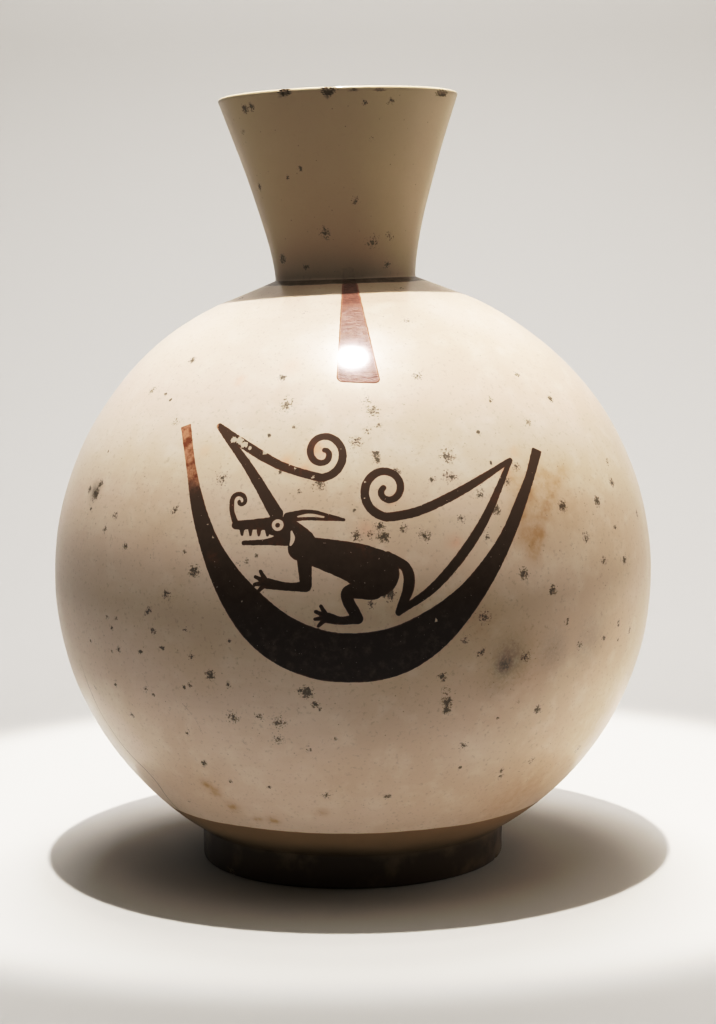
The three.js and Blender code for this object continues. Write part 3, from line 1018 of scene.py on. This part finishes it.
def make_backdrop():
    """A pale floor that curves up into a wall behind the jar."""
    turn = np.linspace(-math.pi / 2, 0.0, SWEEP_STEPS)
    curve = [(SWEEP_BACK + SWEEP_RADIUS * math.cos(a), SWEEP_RADIUS * (1.0 + math.sin(a))) for a in turn]
    line = [(SWEEP_FRONT, 0.0)] + curve + [(SWEEP_BACK + SWEEP_RADIUS, SWEEP_TOP)]
    points = [(side * SWEEP_HALF_WIDTH * MM, y * MM, z * MM) for side in (-1, 1) for y, z in line]
    count = len(line)
    faces = [(i, count + i, count + i + 1, i + 1) for i in range(count - 1)]
    mesh = bpy.data.meshes.new("backdrop")
    mesh.from_pydata(points, [], faces)
    for polygon in mesh.polygons:
        polygon.use_smooth = True
    floor = bpy.data.objects.new("backdrop", mesh)
    bpy.context.scene.collection.objects.link(floor)
    material = bpy.data.materials.new("backdrop")
    n = Nodes(material)
    shader = n.add("ShaderNodeBsdfPrincipled")
    shader.inputs["Base Color"].default_value = SWEEP_GREY
    shader.inputs["Roughness"].default_value = 0.85
    # The wall shows from its front side alone, so that it doesn't hide the jar from behind
    one_sided = n.add("ShaderNodeMixShader")
    n.feed(one_sided.inputs[0], n.add("ShaderNodeNewGeometry").outputs["Backfacing"])
    n.feed(one_sided.inputs[1], shader.outputs[0])
    n.feed(one_sided.inputs[2], n.add("ShaderNodeBsdfTransparent").outputs[0])
    output = n.add("ShaderNodeOutputMaterial")
    n.feed(output.inputs["Surface"], one_sided.outputs[0])
    mesh.materials.append(material)


# The two spots' cone in degrees, and how soft its edge is
SPOT_CONE = 15.5
SPOT_SOFTNESS = 0.25
JAR_MIDDLE = (0.0, 0.0, 200.0)
# Light that the floor throws up under the belly: its place round the foot and its distance from the axis
GLOW_AZIMUTHS = (-48.0, -18.0, 12.0, 42.0)
GLOW_RADIUS = 103.0
# The faint light from all round, and the plain grey that the camera sees past the backdrop's edges
WORLD_LIGHT = (1.0, 0.925, 0.70, 1.0)
WORLD_STRENGTH = 0.052
PALE_SURROUND = (0.62, 0.61, 0.59, 1.0)


def place_light(data, place, target):
    lamp = bpy.data.objects.new(data.name, data)
    lamp.location = Vector(place) * MM
    lamp.rotation_euler = (Vector(target) - Vector(place)).to_track_quat("-Z", "Y").to_euler()
    bpy.context.scene.collection.objects.link(lamp)
    return lamp


def area_light(name, place, target, size, power, colour):
    data = bpy.data.lights.new(name, "AREA")
    data.shape = "DISK"
    data.size = size * MM
    data.energy = power
    data.color = colour
    return place_light(data, place, target)


def spot_light(name, place, target, radius, power, colour):
    data = bpy.data.lights.new(name, "SPOT")
    data.shadow_soft_size = radius * MM
    data.energy = power
    data.color = colour
    data.spot_size = math.radians(SPOT_CONE)
    data.spot_blend = SPOT_SOFTNESS
    return place_light(data, place, target)


def soft(lamp):
    """Keeps a lamp's own picture out of the gloss."""
    lamp.visible_glossy = False
    return lamp


def glint(lamp):
    """Keeps a lamp for the gloss alone."""
    lamp.visible_diffuse = False
    return lamp


def light_stage():
    # The key stands straight above, a little forward, so that the lip shades the neck
    soft(spot_light("key", (-10.0, -150.0, 1900.0), (0.0, 60.0, 0.0), 20.0, 190.0, (1.0, 0.97, 0.93)))
    glint(spot_light("glint", (40.0, 60.0, 1900.0), (0.0, -80.0, 200.0), 60.0, 300.0, (1.0, 0.99, 0.98)))
    soft(area_light("top_fill", (0.0, -350.0, 1500.0), JAR_MIDDLE, 900.0, 7.0, (1.0, 0.96, 0.90)))
    soft(area_light("right_fill", (870.0, 260.0, 400.0), JAR_MIDDLE, 700.0, 2.65, (1.0, 0.93, 0.85)))
    soft(area_light("right_low", (240.0, -60.0, 8.0), (60.0, -45.0, 50.0), 120.0, 0.14, (1.0, 0.92, 0.82)))
    for degrees in GLOW_AZIMUTHS:
        angle = math.radians(degrees)
        x, y = GLOW_RADIUS * math.sin(angle), -GLOW_RADIUS * math.cos(angle)
        glow = soft(area_light("glow", (x, y, 3.0), (x, y, 100.0), 60.0, 0.0032, (1.0, 0.97, 0.90)))
        glow.visible_camera = False
    soft(area_light("left_fill", (-880.0, 100.0, 800.0), JAR_MIDDLE, 700.0, 0.5, (0.98, 0.98, 1.0)))
    soft(area_light("wall_wash", (0.0, 480.0, 1500.0), (0.0, 900.0, 500.0), 700.0, 27.0, (1.0, 0.97, 0.96)))
    world = bpy.data.worlds.new("studio")
    bpy.context.scene.world = world
    world.use_nodes = True
    tree = world.node_tree
    light = tree.nodes["Background"]
    light.inputs["Color"].default_value = WORLD_LIGHT
    light.inputs["Strength"].default_value = WORLD_STRENGTH
    pale = tree.nodes.new("ShaderNodeBackground")
    pale.inputs["Color"].default_value = PALE_SURROUND
    seen = tree.nodes.new("ShaderNodeMixShader")
    tree.links.new(tree.nodes.new("ShaderNodeLightPath").outputs["Is Camera Ray"], seen.inputs[0])
    tree.links.new(light.outputs[0], seen.inputs[1])
    tree.links.new(pale.outputs[0], seen.inputs[2])
    tree.links.new(seen.outputs[0], tree.nodes["World Output"].inputs["Surface"])


# The camera, at the height and angle that the reference was taken from
CAMERA_PLACE = (2.3, -876.2, 232.1)
CAMERA_PITCH = math.radians(6.209)
CAMERA_ROLL = math.radians(-0.822)
IMAGE_HEIGHT = 1024.0
FOCAL_PIXELS = 2217.0
SENSOR = 36.0


def make_camera():
    data = bpy.data.cameras.new("camera")
    data.sensor_width = SENSOR
    data.lens = SENSOR * FOCAL_PIXELS / IMAGE_HEIGHT
    data.clip_start = 0.01
    camera = bpy.data.objects.new("camera", data)
    forward = Vector((0.0, math.cos(CAMERA_PITCH), -math.sin(CAMERA_PITCH)))
    level_up = Vector((0.0, math.sin(CAMERA_PITCH), math.cos(CAMERA_PITCH)))
    level_right = Vector((1.0, 0.0, 0.0))
    right = level_right * math.cos(CAMERA_ROLL) + level_up * math.sin(CAMERA_ROLL)
    up = level_up * math.cos(CAMERA_ROLL) - level_right * math.sin(CAMERA_ROLL)
    turn = Matrix((right, up, -forward)).transposed().to_4x4()
    camera.matrix_world = Matrix.Translation(Vector(CAMERA_PLACE) * MM) @ turn
    bpy.context.scene.collection.objects.link(camera)
    bpy.context.scene.camera = camera


# How much light the picture shows for the light that falls on it: deep shadows and soft highlights
RESPONSE = [
    (0.1, 0.045), (0.2, 0.138), (0.3, 0.25), (0.4, 0.375), (0.63, 0.61), (0.9, 0.765), (1.1, 0.85),
    (1.5, 0.95),
]
WHITE_LIGHT = 2.0


def film_response():
    view = bpy.context.scene.view_settings
    view.view_transform = "Standard"
    view.use_curve_mapping = True
    view.curve_mapping.white_level = (WHITE_LIGHT, WHITE_LIGHT, WHITE_LIGHT)
    curve = view.curve_mapping.curves[3]
    for light, shown in RESPONSE:
        curve.points.new(light / WHITE_LIGHT, shown)
    view.curve_mapping.update()


make_camera()
make_backdrop()
light_stage()
film_response()

jar = make_jar()
jar.data.materials.append(slip_material())
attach(jar, "root")
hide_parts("jar")
